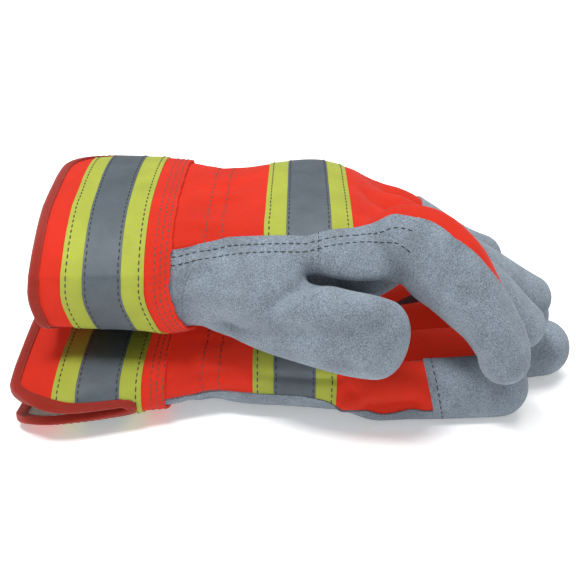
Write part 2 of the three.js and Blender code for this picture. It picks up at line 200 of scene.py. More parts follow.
RIGHT = {
    "name": "right",
    "side": -1,
    "sleeve": [
        (-117, 1, 16.5, 66, 15.5, 6, 0), (-86, 0, 17, 61, 16, 7, 0), (-51, 0.5, 18, 50, 17, 7, 0),
        (-25, 1.5, 19, 44, 19.5, 5, 0), (8, 0, 23, 47.5, 24, 3, 0), (28, -0.5, 20.5, 48.5, 21.5, 2, 0),
        (45, -2, 16.5, 48, 18, 1, 0),
    ],
    "back": [(38, 190), (38, 190), (38, 192), (32, 200), (22, 204)],
    "tape": -12.5,
    "elastic": (-34, -27),
    "slit": {"angle": 190, "end": -66, "corner": (32, 16), "open": 4.0},
    "tapes": (-96.7, -86.6, -68.2, -59),
    "seam": -48,
    "rows_end": 60,
    "rows_side": 1,
    "creases": [
        ([(-30, -44, 25), (-17, -45, 25.5), (23, -48, 25)], -1.6, 2.2),
        ([(25, -46, 13), (41, -44, 20), (57, -40, 20)], 3.0, 4.0),
        ([(30, -46, 19), (40, -40, 27)], -3.0, 3.0), ([(36, -50, 12), (56, -48, 13)], -2.8, 3.5),
    ],
    "skew": [(0, 0, 0), (360, 0, 0)],
    "fingers": {
        "little": {
            "back": [(0, 25, 200), (60, 25, 203)],
            "cap": 35.5,
            "cap_slant": 2.5,
            "cap_row": 3.5,
            "stations": [
                (28, -37.5, 15, 12.5, 14), (46.5, -37.2, 14, 12.3, 13.5), (70, -36, 14, 12.8, 14),
                (90, -34, 14, 12.8, 14), (108, -32.5, 13.5, 12.5, 13),
            ],
        },
        "ring": {
            "back": [(0, 25, 155), (60, 25, 155)],
            "cap": 56,
            "stations": [
                (28, -13.5, 17, 12.5, 15), (47, -12.4, 15, 12.5, 14.5), (76, -8, 15, 12.8, 14.5),
                (106, 0, 14.5, 13, 14), (131, 5, 13, 12.5, 12.5),
            ],
        },
        "middle": {
            "back": [(0, 25, 155), (60, 25, 155)],
            "cap": 60,
            "stations": [
                (28, 9, 17, 12.5, 15), (47, 12.4, 15, 12.5, 14.5), (76, 21.5, 15, 12.8, 14.5),
                (106, 32, 14.5, 13, 14), (124, 38, 13, 12.5, 12.5),
            ],
        },
        "index": {
            "back": [(0, 62, 150), (60, 62, 100)],
            "cap": 58,
            "stations": [
                (28, 31, 15, 12.5, 14), (47, 37, 14, 12.2, 13.5), (72, 50.5, 14, 12.8, 14),
                (96, 62, 14, 12.5, 13), (112, 68, 13, 12, 12),
            ],
        },
    },
    "thumb": {
        "across": (0, 1, 0),
        "free": 14,
        "stations": [
            (-28, 38, 17, 13, 14), (-5, 55, 15.5, 13, 13), (18, 69, 15, 13, 13),
            (38, 77, 14.5, 12.5, 12.5), (51, 81, 14, 12, 12),
        ],
    },
}


# ---- Curves, noise and sections ----


def spline(table, u):
    """Catmull-Rom through the rows of a table, at u rows along it."""
    table = np.asarray(table, float)
    last = len(table) - 1
    u = np.clip(np.asarray(u, float), 0, last)
    i = np.minimum(u.astype(int), last - 1)
    f = (u - i)[..., None]
    padded = np.vstack([2 * table[0] - table[1], table, 2 * table[-1] - table[-2]])
    a, b, c, d = (padded[i + k] for k in range(4))
    return 0.5 * (2 * b + (c - a) * f + (2 * a - 5 * b + 4 * c - d) * f**2 + (3 * b - a - 3 * c + d) * f**3)


def rows_at(values, x):
    """How many rows along a rising column the value x stands."""
    return np.interp(x, values, np.arange(len(values)))


def columns_at(x, rising, table):
    """A table's columns, at x along a rising column."""
    return np.stack([np.interp(x, rising, column) for column in table.T], 1)


def smooth(x, start, end):
    """0 before start, 1 after end, and a smooth rise between them."""
    t = np.clip((x - start) / (end - start), 0, 1)
    return t * t * (3 - 2 * t)


def soft_min(a, b, radius):
    """The smaller of a and b, blended over a radius where they are close."""
    mix = np.maximum(radius - np.abs(a - b), 0) / radius
    return np.minimum(a, b) - mix**2 * radius / 4


def noise(points, size, seed=0):
    """Smooth noise from -1 to 1 that changes over about size."""
    q = np.asarray(points, float) / size + 31.7 * (seed + 1)
    cell = np.floor(q).astype(np.int64)
    f = q - cell
    f = f * f * (3 - 2 * f)
    total = 0
    for corner in itertools.product((0, 1), repeat=3):
        x, y, z = (cell + corner).T
        mixed = (x * 73856093) ^ (y * 19349663) ^ (z * 83492791)
        mixed = ((mixed ^ (mixed >> 13)) * 1274126177) & 0x7FFFFFFF
        mixed = ((mixed ^ (mixed >> 15)) * 2246822519) & 0x7FFFFFFF
        weight = np.prod(np.where(corner, f, 1 - f), axis=1)
        total = total + weight * (mixed / 2**30 - 1)
    return total


def unit(vectors):
    return vectors / np.maximum(np.linalg.norm(vectors, axis=-1, keepdims=True), 1e-9)


def squared(v, power):
    return np.sign(v) * np.abs(v) ** (2 / power)


def sleeve_point(table, u, angle, grow):
    """Points outside a sleeve's surface by grow, at u rows along its table and at an angle in radians."""
    s = spline(table, u)
    yaw = np.radians(s[..., 5])
    lean = np.radians(s[..., 6])
    across = (s[..., 3] + grow) * squared(np.cos(angle), SECTION_POWER)
    up = (s[..., 4] + grow) * squared(np.sin(angle), SECTION_POWER)
    x = s[..., 0] + np.sin(yaw) * across + np.sin(lean) * up
    y = s[..., 1] + np.cos(yaw) * across
    z = s[..., 2] + np.cos(lean) * up
    return np.stack([x, y, z], -1)


def sleeve_local(table, points):
    """Near a sleeve: x along its axis, angle round it in degrees, and distance from its surface."""
    table = np.asarray(table, float)
    dense = np.linspace(0, len(table) - 1, 200)
    dense_x = spline(table, dense)[:, 0]
    x = points[:, 0]
    for _ in range(3):
        s = spline(table, np.interp(x, dense_x, dense))
        yaw = np.radians(s[:, 5])
        lean = np.radians(s[:, 6])
        across = (points[:, 1] - s[:, 1]) / np.cos(yaw)
        up = (points[:, 2] - s[:, 2]) / np.cos(lean)
        x = points[:, 0] - np.sin(yaw) * across - np.sin(lean) * up
    a = across / s[:, 3]
    b = up / s[:, 4]
    power = SECTION_POWER
    ratio = (np.abs(a) ** power + np.abs(b) ** power) ** (1 / power) + 1e-6
    angle = np.degrees(np.arctan2(squared(b, 4 / power), squared(a, 4 / power)))
    reach = np.hypot(across, up)
    return {"x": x, "angle": angle, "distance": reach * (1 - 1 / ratio), "reach": reach}


def strand_local(stations, points, across_hint=(0, 1, 0)):
    """Near a finger: length from its root, angle round it in degrees, and distance from its surface."""
    dense = spline(stations, np.linspace(0, len(stations) - 1, 60))
    steps = np.linalg.norm(np.diff(dense[:, :3], axis=0), axis=1)
    length = np.concatenate([[0], np.cumsum(steps)])
    core = length[-1] - dense[-1, 4]
    start = dense[0, 4]
    along = unit(np.gradient(dense[:, :3], axis=0))
    nearest = np.zeros(len(points), int)
    best = np.full(len(points), np.inf)
    for k in range(len(dense)):
        if length[k] < start - 1 or length[k] > core + 1:
            continue
        gap = np.sum((points - dense[k, :3]) ** 2, axis=1)
        closer = gap < best
        best[closer] = gap[closer]
        nearest[closer] = k
    past = np.sum((points - dense[nearest, :3]) * along[nearest], axis=1)
    free = length[nearest] + past
    held = np.clip(free, start, core)
    centre = columns_at(held, length, dense[:, :3])
    tangent = unit(columns_at(held, length, along))
    wide, high = columns_at(held, length, dense[:, 3:]).T
    across = np.array(across_hint, float) - tangent * (tangent @ np.array(across_hint, float))[:, None]
    across = unit(across)
    up = np.cross(tangent, across)
    offset = points - centre
    a = np.sum(offset * across, axis=1)
    b = np.sum(offset * up, axis=1)
    t = np.sum(offset * tangent, axis=1)
    ratio = np.sqrt((a / wide) ** 2 + (b / high) ** 2 + (t / high) ** 2) + 1e-6
    reach = np.linalg.norm(offset, axis=1)
    angle = np.degrees(np.arctan2(b / high, a / wide))
    return {"length": free, "angle": angle, "distance": reach * (1 - 1 / ratio), "reach": reach}


# ---- Skins ----


def between(values, a, b, t):
    """Values a share t of the way from points a to points b."""
    return values[a] + (values[b] - values[a]) * (t if values.ndim == 1 else t[:, None])


class Skin:
    """Triangles, their points, a normal at each point, and named values at each point."""

    def __init__(self, points, triangles, values=None, normals=None):
        self.points = points
        self.triangles = triangles
        self.values = values or {}
        self.normals = point_normals(points, triangles) if normals is None else normals

    def without(self, kept):
        """The skin with only the kept triangles."""
        triangles = self.triangles[kept]
        used, inverse = np.unique(triangles, return_inverse=True)
        values = {name: value[used] for name, value in self.values.items()}
        return Skin(self.points[used], inverse.reshape(-1, 3), values, self.normals[used])

    def split(self, name, level):
        """The skin with no triangle that crosses the line where a value passes a level."""
        value = self.values[name] - level
        edges = edges_of(self.triangles)
        snap = 0.15  # a point this close to the line, as a share of an edge, moves onto it
        points = self.points.copy()
        normals = self.normals.copy()
        values = {key: v.copy() for key, v in self.values.items()}
        for near, far in ((0, 1), (1, 0)):
            a, b = edges[:, near], edges[:, far]
            crosses = value[a] * value[b] < 0
            t = np.where(crosses, value[a] / np.where(crosses, value[a] - value[b], 1), 1)
            moved = crosses & (t < snap)
            a, b, t = a[moved], b[moved], t[moved]
            points[a] = between(self.points, a, b, t)
            normals[a] = between(self.normals, a, b, t)
            for key in values:
                values[key][a] = between(self.values[key], a, b, t)
            values[name][a] = level
        value = values[name] - level
        value[np.abs(value) < 1e-6] = 0
        sign = np.sign(value).astype(int)
        a, b = edges[:, 0], edges[:, 1]
        crosses = sign[a] * sign[b] < 0
        t = (value[a] / np.where(crosses, value[a] - value[b], 1))[crosses]
        a, b = a[crosses], b[crosses]
        number = {}
        for k, pair in enumerate(zip(a.tolist(), b.tolist())):
            number[pair] = len(points) + k

        def extended(v):
            return np.concatenate([v, between(v, a, b, t)])

        triangles = self.triangles
        low = sign[triangles].min(axis=1)
        high = sign[triangles].max(axis=1)
        whole = ~((low < 0) & (high > 0))
        made = []
        for triangle in triangles[~whole].tolist():
            made += split_triangle(triangle, sign, number)
        parts = [triangles[whole], np.array(made, int).reshape(-1, 3)]
        values = {key: extended(v) for key, v in values.items()}
        values[name][len(points):] = level
        return Skin(extended(points), np.vstack(parts), values, unit(extended(normals)))

    def above(self, name, level):
        """The part of the skin where a value is over a level. The skin is cut along that line."""
        cut = self.split(name, level)
        return cut.without(cut.values[name][cut.triangles].mean(axis=1) > level)

    def below(self, name, level):
        cut = self.split(name, level)
        return cut.without(cut.values[name][cut.triangles].mean(axis=1) < level)

    def band(self, name, low, high):
        return self.above(name, low).below(name, high)


def split_triangle(triangle, sign, number):
    """The triangles that one triangle becomes when the cut passes through it."""
    for turn in range(3):
        a, b, c = triangle[turn:] + triangle[:turn]
        if sign[a] == 0:
            middle = number[(min(b, c), max(b, c))]
            return [(a, b, middle), (a, middle, c)]
    for turn in range(3):
        a, b, c = triangle[turn:] + triangle[:turn]
        if sign[b] == sign[c]:
            ab = number[(min(a, b), max(a, b))]
            ac = number[(min(a, c), max(a, c))]
            return [(a, ab, ac), (ab, b, c), (ab, c, ac)]
    return [tuple(triangle)]


def sides_of(triangles):
    return np.vstack([triangles[:, [0, 1]], triangles[:, [1, 2]], triangles[:, [2, 0]]])


def halves(quads):
    """The two triangles of each quad."""
    return np.vstack([quads[:, [0, 1, 2]], quads[:, [0, 2, 3]]])


def edges_of(triangles):
    """Every edge once, lower point first."""
    return np.unique(np.sort(sides_of(triangles), axis=1), axis=0)


def point_normals(points, triangles):
    a, b, c = (points[triangles[:, k]] for k in range(3))
    face = np.cross(b - a, c - a)
    total = np.zeros_like(points)
    for k in range(3):
        np.add.at(total, triangles[:, k], face)
    return unit(total)


def relaxed(points, triangles, times):
    """Points moved towards the mean of their neighbours, to take the grid's steps out of a skin."""
    edges = edges_of(triangles)
    count = np.maximum(np.bincount(edges.ravel(), minlength=len(points)), 1)[:, None]
    for _ in range(times):
        total = np.zeros_like(points)
        np.add.at(total, edges[:, 0], points[edges[:, 1]])
        np.add.at(total, edges[:, 1], points[edges[:, 0]])
        points = 0.5 * points + 0.5 * total / count
    return points


def iso_surface(field, low, high, step):
    """The surface where field(points) is zero, with the field negative inside."""
    low = np.asarray(low, float)
    counts = np.ceil((np.asarray(high) - low) / step).astype(int) + 1
    cells = counts - 1
    grid = np.stack(np.meshgrid(*(np.arange(n) for n in counts), indexing="ij"), -1)
    value = field(low + step * grid.reshape(-1, 3)).reshape(counts)
    inside = value < 0
    total = np.zeros((*cells, 3))
    hits = np.zeros(cells)
    crossings = []
    for axis in range(3):
        one, two = (axis + 1) % 3, (axis + 2) % 3
        first = [slice(None)] * 3
        second = [slice(None)] * 3
        first[axis] = slice(0, -1)
        second[axis] = slice(1, None)
        v0, v1 = value[tuple(first)], value[tuple(second)]
        crosses = inside[tuple(first)] != inside[tuple(second)]
        t = np.where(crosses, v0 / np.where(crosses, v0 - v1, 1), 0)
        crossings.append((crosses, inside[tuple(first)]))
        for shift_one, shift_two in itertools.product((0, 1), repeat=2):
            window = [slice(None)] * 3
            window[one] = slice(shift_one, shift_one + cells[one])
            window[two] = slice(shift_two, shift_two + cells[two])
            here = crosses[tuple(window)]
            hits += here
            cell = [np.broadcast_to(c, cells) for c in np.ogrid[: cells[0], : cells[1], : cells[2]]]
            total[..., axis] += here * (cell[axis] + t[tuple(window)])
            total[..., one] += here * (cell[one] + shift_one)
            total[..., two] += here * (cell[two] + shift_two)
    active = hits > 0
    number = np.full(cells, -1)
    number[active] = np.arange(active.sum())
    points = low + step * total[active] / hits[active][:, None]
    quads = []
    for axis, (crosses, starts_inside) in enumerate(crossings):
        one, two = (axis + 1) % 3, (axis + 2) % 3
        where = np.argwhere(crosses)
        kept = (where[:, one] > 0) & (where[:, two] > 0)
        kept &= (where[:, one] < cells[one]) & (where[:, two] < cells[two])
        where = where[kept]
        ring = []
        for back_one, back_two in ((1, 1), (0, 1), (0, 0), (1, 0)):
            cell = where.copy()
            cell[:, one] -= back_one
            cell[:, two] -= back_two
            ring.append(number[tuple(cell.T)])
        ring = np.stack(ring, 1)
        outward = starts_inside[tuple(where.T)]
        quads.append(np.where(outward[:, None], ring, ring[:, ::-1]))
    quads = np.vstack(quads)
    triangles = halves(quads)
    return relaxed(points, triangles, 3), triangles


# ---- Turning skins into Blender objects ----


def linked(name, data):
    """A new object in the scene."""
    obj = bpy.data.objects.new(name, data)
    bpy.context.scene.collection.objects.link(obj)
    return obj


def new_object(name, points, faces, material, uv=None, sharp=40):
    """An object in the row frame, from points in millimetres in the tables' frame."""
    mesh = bpy.data.meshes.new(name)
    placed = (np.asarray(points) - PART_ORIGIN) * MM
    mesh.from_pydata(placed.tolist(), [], np.asarray(faces).tolist())
    mesh.polygons.foreach_set("use_smooth", np.ones(len(mesh.polygons), bool))
    if sharp:
        mesh.set_sharp_from_angle(angle=math.radians(sharp))
    if uv is not None:
        layer = mesh.uv_layers.new(name="cloth")
        corner = np.zeros(len(mesh.loops), np.int32)
        mesh.loops.foreach_get("vertex_index", corner)
        layer.data.foreach_set("uv", (uv[corner] * 0.1).ravel())
    mesh.materials.append(material)
    return linked(name, mesh)


def thickened(skin, layer, outer_change=0.0):
    """A closed panel between two offsets from the skin. Its inside follows, then its rim."""
    inner, outer = layer
    count = len(skin.points)
    top = skin.points + skin.normals * np.reshape(outer + outer_change * np.ones(count), (-1, 1))
    bottom = skin.points + skin.normals * inner
    t = skin.triangles
    directed = sides_of(t)
    key = np.sort(directed, axis=1)
    _, first, shared = np.unique(key, axis=0, return_index=True, return_counts=True)
    rim = directed[first[shared == 1]]
    a, b = rim[:, 0], rim[:, 1]
    walls = np.vstack([np.stack([a, a + count, b + count], 1), np.stack([a, b + count, b], 1)])
    return np.vstack([top, bottom]), np.vstack([t, t[:, ::-1] + count, walls])


def panel(name, skin, layer, material, change=0.0):
    """The object of one thickened panel, with cloth coordinates in centimetres."""
    points, faces = thickened(skin, layer, change)
    uv = np.stack([skin.values["u"], skin.values["v"]], 1)
    return new_object(name, points, faces, material, uv=np.vstack([uv, uv]))


def contour(skin, name, level):
    """The lines on a skin where a value is at a level, each as arrays of points and normals."""
    value = skin.values[name] - level
    value = np.where(np.abs(value) < 1e-5, 1e-5, value)
    positive = value > 0
    edges = edges_of(skin.triangles)
    a, b = edges[:, 0], edges[:, 1]
    crosses = positive[a] != positive[b]
    a, b = a[crosses], b[crosses]
    t = value[a] / (value[a] - value[b])
    points = between(skin.points, a, b, t)
    normals = unit(between(skin.normals, a, b, t))
    number = {pair: k for k, pair in enumerate(zip(a.tolist(), b.tolist()))}
    links = [[] for _ in range(len(points))]
    mixed = positive[skin.triangles].any(axis=1) & ~positive[skin.triangles].all(axis=1)
    for triangle in skin.triangles[mixed].tolist():
        ends = []
        for i, j in ((0, 1), (1, 2), (2, 0)):
            pair = (min(triangle[i], triangle[j]), max(triangle[i], triangle[j]))
            if pair in number:
                ends.append(number[pair])
        if len(ends) == 2:
            links[ends[0]].append(ends[1])
            links[ends[1]].append(ends[0])
    seen = np.zeros(len(points), bool)
    lines = []
    order = sorted(range(len(points)), key=lambda k: len(links[k]) != 1)
    for start in order:
        if seen[start] or not links[start]:
            continue
        chain = [start]
        seen[start] = True
        while True:
            onward = [k for k in links[chain[-1]] if not seen[k]]
            if not onward:
                break
            chain.append(onward[0])
            seen[onward[0]] = True
        if len(chain) > 4:
            lines.append((points[chain], normals[chain]))
    return lines


def resampled(points, normals, pitch):
    """Evenly spaced points along a line that has been smoothed a little, with tangents and normals."""
    for _ in range(4):
        points = np.vstack([points[:1], (points[:-2] + 2 * points[1:-1] + points[2:]) / 4, points[-1:]])
        between = normals[:-2] + 2 * normals[1:-1] + normals[2:]
        normals = unit(np.vstack([normals[:1], between, normals[-1:]]))
    gaps = np.linalg.norm(np.diff(points, axis=0), axis=1)
    length = np.concatenate([[0], np.cumsum(gaps)])
    at = np.arange(pitch / 2, length[-1], pitch)
    tangents = unit(columns_at(at + 0.4, length, points) - columns_at(at - 0.4, length, points))
    return columns_at(at, length, points), tangents, unit(columns_at(at, length, normals))


STITCH_SIDES = 6
STITCH_RINGS = 5


def stitch_shape(length, radius):
    """One stitch along X with +Z out of the cloth: a thread that dips in at both ends."""
    points = []
    for i in range(STITCH_RINGS):
        t = i / (STITCH_RINGS - 1)
        along = (t - 0.5) * length
        bulge = math.sin(math.pi * t)
        thick = radius * (0.45 + 0.55 * bulge**0.5)
        for j in range(STITCH_SIDES):
            turn = 2 * math.pi * j / STITCH_SIDES
            points.append((along, thick * math.cos(turn), thick * math.sin(turn) + radius * (bulge - 0.9)))
    faces = []
    for i in range(STITCH_RINGS - 1):
        for j in range(STITCH_SIDES):
            k = (j + 1) % STITCH_SIDES
            low, high = i * STITCH_SIDES, (i + 1) * STITCH_SIDES
            faces.append((low + j, low + k, high + k))
            faces.append((low + j, high + k, high + j))
    return np.array(points), np.array(faces)[:, ::-1]


def stitches(name, lines, material, offset, length=2.8, pitch=3.1, radius=0.3, keep=None):
    """Rows of single stitches along lines, standing at an offset from the skin."""
    shape, faces = stitch_shape(length, radius)
    points = []
    for line_points, line_normals in lines:
        places, tangents, facing = resampled(line_points, line_normals, pitch)
        if keep is not None:
            kept = keep(places)
            places, tangents, facing = places[kept], tangents[kept], facing[kept]
        side = unit(np.cross(facing, tangents))
        facing = np.cross(tangents, side)
        wobble = 0.12 * noise(places, 2.0, 5)[:, None]
        places = places + facing * offset + side * wobble
        points.append(
            places[:, None]
            + tangents[:, None] * shape[:, 0][None, :, None]
            + side[:, None] * shape[:, 1][None, :, None]
            + facing[:, None] * shape[:, 2][None, :, None]
        )
    points = np.vstack(points)
    every = (faces[None] + (np.arange(len(points)) * len(shape))[:, None, None]).reshape(-1, 3)
    return new_object(name, points.reshape(-1, 3), every, material, sharp=None)


# ---- Materials ----


class Shading:
    """A new material, with short ways to add nodes to it."""

    def __init__(self, name, inputs):
        self.material = bpy.data.materials.new(name)
        self.material.use_nodes = True
        self.tree = self.material.node_tree
        self.fill(self.tree.nodes["Principled BSDF"], inputs)

    def fill(self, node, inputs):
        """Each input of a node linked to a socket, or set to a value."""
        for key, value in inputs.items():
            if isinstance(value, bpy.types.NodeSocket):
                self.tree.links.new(value, node.inputs[key])
            else:
                node.inputs[key].default_value = value

    def add(self, kind, inputs, **settings):
        node = self.tree.nodes.new("ShaderNode" + kind)
        for key, value in settings.items():
            setattr(node, key, value)
        self.fill(node, inputs)
        return node.outputs

    def coordinates(self, space, scale):
        """Texture coordinates in millimetres times a scale, from the cloth map or the object's own space."""
        if space == "cloth":
            source, factor = self.add("UVMap", {}, uv_map="cloth")["UV"], 10.0
        else:
            source, factor = self.add("TexCoord", {})["Object"], 1 / MM
        return self.add("Mapping", {"Vector": source, "Scale": [factor * s for s in scale]})["Vector"]

    def noise(self, space, scale, detail, rough=0.6):
        """A noise texture with features about one unit across."""
        inputs = {"Scale": 1.0, "Detail": detail, "Roughness": rough}
        return self.add("TexNoise", {"Vector": self.coordinates(space, scale), **inputs})["Fac"]

    def ramp(self, value, *stops):
        node = self.tree.nodes.new("ShaderNodeValToRGB")
        self.fill(node, {"Fac": value})
        for element, (position, colour) in zip(node.color_ramp.elements, stops):
            element.position = position
            element.color = (*colour, 1.0)
        return node.outputs["Color"]

    def patchy(self, colour, scale, detail, low, high):
        """A colour that drifts between a low and a high share of itself."""
        darker, lighter = (tuple(c * share for c in colour) for share in (low, high))
        patches = self.noise("object", (scale,) * 3, detail)
        return self.ramp(patches, (0.3, darker), (0.7, lighter))

    def multiplied(self, a, b, share=1.0):
        return self.add("Mix", {0: share, 6: a, 7: b}, data_type="RGBA", blend_type="MULTIPLY")[2]

    def added(self, a, b, share):
        """a plus a share of b."""
        return self.add("Math", {0: b, 1: share, 2: a}, operation="MULTIPLY_ADD")[0]

    def bump(self, height, distance, strength):
        inputs = {"Strength": strength, "Distance": distance * MM, "Height": height}
        return self.add("Bump", inputs)["Normal"]

    def finished(self, inputs):
        self.fill(self.tree.nodes["Principled BSDF"], inputs)
        return self.material


def suede_material():
    """Blue-grey split cowhide: a napped surface with fine speckle and soft patches."""
    sheen = {"Sheen Weight": 0.35, "Sheen Roughness": 0.5, "Sheen Tint": (0.8, 0.88, 0.95, 1.0)}
    hide = Shading("suede", {"Roughness": 0.95, "Specular IOR Level": 0.15, **sheen})
    base = hide.patchy((0.222, 0.265, 0.312), 0.07, 3.0, 0.8, 1.16)
    fibre = hide.noise("object", (1.5,) * 3, 4.0, 0.8)
    speck = hide.noise("object", (3.4,) * 3, 2.0, 0.7)
    nap = hide.ramp(fibre, (0.36, (0.5, 0.53, 0.56)), (0.64, (1.36, 1.34, 1.32)))
    fine = hide.ramp(speck, (0.36, (0.62, 0.63, 0.64)), (0.64, (1.36, 1.35, 1.34)))
    colour = hide.multiplied(hide.multiplied(base, nap), fine, 0.7)
    return hide.finished({"Base Color": colour, "Normal": hide.bump(hide.added(fibre, speck, 0.5), 0.5, 0.8)})


def woven_material(name, colour, rough=0.85, sheen=0.2, twill=(1.6, 1.6), depth=0.12, glow=0.0):
    """Cloth with a diagonal twill weave, slight unevenness in its colour, and a soft sheen.

    A fluorescent dye gives back more of its colour than the light brings; glow paints that in as an emission
    in the cloth's own colour, painted light that keeps the cloth bright in shade too.
    """
    sheens = {"Sheen Weight": sheen, "Sheen Roughness": 0.4}
    # painted glow: an emission in the cloth's colour, painted light that lifts the cloth where it lies in
    # shade
    painted_glow = {"Emission Color": (*colour, 1.0), "Emission Strength": glow}
    cloth = Shading(name, {"Roughness": rough, "Specular IOR Level": 0.2, **sheens, **painted_glow})
    base = cloth.patchy(colour, 0.05, 4.0, 0.9, 1.1)
    inputs = {"Scale": 1.0, "Distortion": 0.6, "Detail": 1.0}
    inputs["Vector"] = cloth.coordinates("cloth", (*twill, 1.0))
    wave = cloth.add("TexWave", inputs, wave_type="BANDS", bands_direction="DIAGONAL")["Fac"]
    threads = cloth.noise("cloth", (2.2, 2.2, 1.0), 2.0)
    lines = cloth.ramp(wave, (0.0, (0.93,) * 3), (1.0, (1.04,) * 3))
    normal = cloth.bump(cloth.added(wave, threads, 0.8), depth, 0.6)
    return cloth.finished({"Base Color": cloth.multiplied(base, lines), "Normal": normal})


def silver_material():
    """Retro-reflective tape: a grey film of glass beads that glints a little, with a faint pattern of bead
    dots.
    """
    film = Shading("silver_tape", {"Roughness": 0.6, "Metallic": 0.12, "Specular IOR Level": 0.5})
    base = film.patchy((0.077, 0.098, 0.117), 0.06, 3.0, 0.85, 1.15)
    vector = film.coordinates("cloth", (3.2, 3.2, 1.0))
    beads = film.add("TexVoronoi", {"Scale": 1.0, "Vector": vector})["Distance"]
    dots = film.ramp(beads, (0.0, (1.15,) * 3), (0.8, (0.86,) * 3))
    return film.finished({"Base Color": film.multiplied(base, dots), "Normal": film.bump(beads, 0.05, 0.5)})


def thread_material(name, colour):
    """Twisted sewing thread."""
    thread = Shading(name, {"Roughness": 0.6})
    return thread.finished({"Base Color": thread.patchy(colour, 3.0, 2.0, 0.7, 1.3)})


MATERIALS = {
    "suede": suede_material(),
    # the orange cloth's glow is painted light: its emission keeps the cloth in shade nearly as bright as the
    # lit cloth
    "orange_fabric": woven_material("orange_fabric", (0.48, 0.0205, 0.0082), sheen=0.04, glow=0.38),
    "edge_binding": woven_material("edge_binding", (0.34, 0.022, 0.011), twill=(1.0, 2.4), depth=0.25),
    "lime_tape": woven_material("lime_tape", (0.345, 0.39, 0.048), rough=0.6, sheen=0.06, depth=0.05),
    "silver_tape": silver_material(),
    "lining": woven_material("lining", (0.72, 0.70, 0.64), depth=0.3),
    "elastic": woven_material("elastic", (0.6, 0.6, 0.58), twill=(0.2, 1.4), depth=0.3),
    "dark_thread": thread_material("dark_thread", (0.018, 0.022, 0.022)),
    "red_thread": thread_material("red_thread", (0.2, 0.014, 0.008)),
    "grey_thread": thread_material("grey_thread", (0.13, 0.055, 0.05)),
}


# ---- One glove ----


def into_back(local, low, high):
    """Millimetres into the fabric back from its nearer border with the leather, and round from its middle."""
    turned = (local["angle"] - (low + high) / 2 + 180) % 360 - 180
    inside = (high - low) / 2 - np.abs(turned)
    return np.radians(inside) * local["reach"], np.radians(turned) * local["reach"]


def border_values(glove, local):
    xs = [station[0] for station in glove["sleeve"]][CUFF_END:]
    table = np.array(glove["back"], float)
    return into_back(local, *columns_at(rows_at(xs, local["x"]), np.arange(len(table)), table).T)


def finger_border(finger, local):
    """The same for a finger, whose back also ends where its leather cap starts."""
    table = np.array(finger["back"], float)
    inside, turned = into_back(local, *columns_at(local["length"], table[:, 0], table[:, 1:]).T)
    return np.minimum(inside, finger["cap"] - cap_length(finger, local)), turned


def cap_length(finger, local):
    """Length from the root, measured so that a slanting cap starts at one length all round."""
    return local["length"] + finger.get("cap_slant", 0) * np.sin(np.radians(local["angle"]))


def wrinkled(glove, points, local):
    """How far a hand stands out from its smooth shape: waves, gathers, creases, and the tuck at the cuff."""
    seed = 3 if glove["side"] > 0 else 11
    waves = 0.9 * noise(points, 26, seed) + 0.4 * noise(points, 11, seed + 1)
    first, second = glove["elastic"]
    middle = (first + second) / 2
    near = np.exp(-(((local["x"] - middle) / 10) ** 2))
    stretched = points * np.array([0.28, 1, 1])
    gathers = near * (1.7 * noise(stretched, 5.5, seed + 2) - 2.0)
    # under the cuff the cloth lies just below it, and the thicker leather lies deeper
    leather = 1 - smooth(border_values(glove, local)[0], -1, 1)
    seam = glove["seam"] + TUCK_REACH
    tuck = -(0.8 + 0.95 * leather) * (1 - smooth(local["x"], seam, seam + 7))
    total = waves * 0.6 * smooth(local["x"], seam - 6, seam + 10) + gathers + tuck
    for path, height, width in glove["creases"]:
        total += height * np.exp(-((path_distance(points, path) / width) ** 2))
    return total


def path_distance(points, path):
    """Distance from each point to a line through a few places."""
    path = np.array(path, float)
    best = np.full(len(points), np.inf)
    for a, b in zip(path[:-1], path[1:]):
        t = np.clip((points - a) @ (b - a) / ((b - a) @ (b - a)), 0, 1)
        best = np.minimum(best, np.linalg.norm(points - a - t[:, None] * (b - a), axis=1))
    return best


def grooved(glove, points, field):
    """The field with the groove that the side of the hand has under the index finger, behind the thumb."""
    if "groove" not in glove:
        return field
    path, radius = glove["groove"]
    narrowed = np.array([1, GROOVE_NARROWING, 1])
    return -soft_min(-field, path_distance(points * narrowed, np.array(path) * narrowed) - radius, 2.0)


def hand_field(glove, points):
    local = sleeve_local(glove["sleeve"], points)
    end = glove["sleeve"][-1][0] + 4
    reach = glove["sleeve"][-1][4]
    past = np.maximum(local["x"] - (end - reach), 0)
    inset = local["distance"] + SKIN_INSET
    field = np.where(past > 0, np.hypot(past, np.maximum(inset + reach, 0)) - reach, inset)
    return grooved(glove, points, field)


def skin_values(glove, points, finger=None):
    """A skin's named values: position along the sleeve, border distance and cloth coordinates."""
    local = sleeve_local(glove["sleeve"], points)
    back, turned = border_values(glove, local)
    values = {"x": local["x"], "back": back, "u": turned, "v": local["x"]}
    if finger:
        strand = strand_local(finger["stations"], points)
        own, own_turned = finger_border(finger, strand)
        share = smooth(points[:, 0], 38, 56)
        values["back"] = back * (1 - share) + own * share
        values["u"] = turned * (1 - share) + own_turned * share
        values["length"] = cap_length(finger, strand)
    return values, local


def made_skin(glove, field, low, high, finger=None, values=None):
    """A skin of a field, wrinkled, with its values, and pressed flat where it lies on the floor."""
    points, triangles = iso_surface(field, low, high, STEP)
    found, local = skin_values(glove, points, finger)
    normals = point_normals(points, triangles)
    points = points + normals * wrinkled(glove, points, local)[:, None]
    if values:
        found.update(values(points))
    points[:, 2] = np.maximum(points[:, 2], LEATHER[1])
    return Skin(points, triangles, found)


def hand_skin(glove):
    z = [station[2] for station in glove["sleeve"]]
    low = (-64, -66, min(z) - 40)
    high = (62, 62, max(z) + 32)
    skin = made_skin(glove, lambda p: hand_field(glove, p), low, high)
    return skin.above("x", glove["sleeve"][CUFF_END][0] - 5)


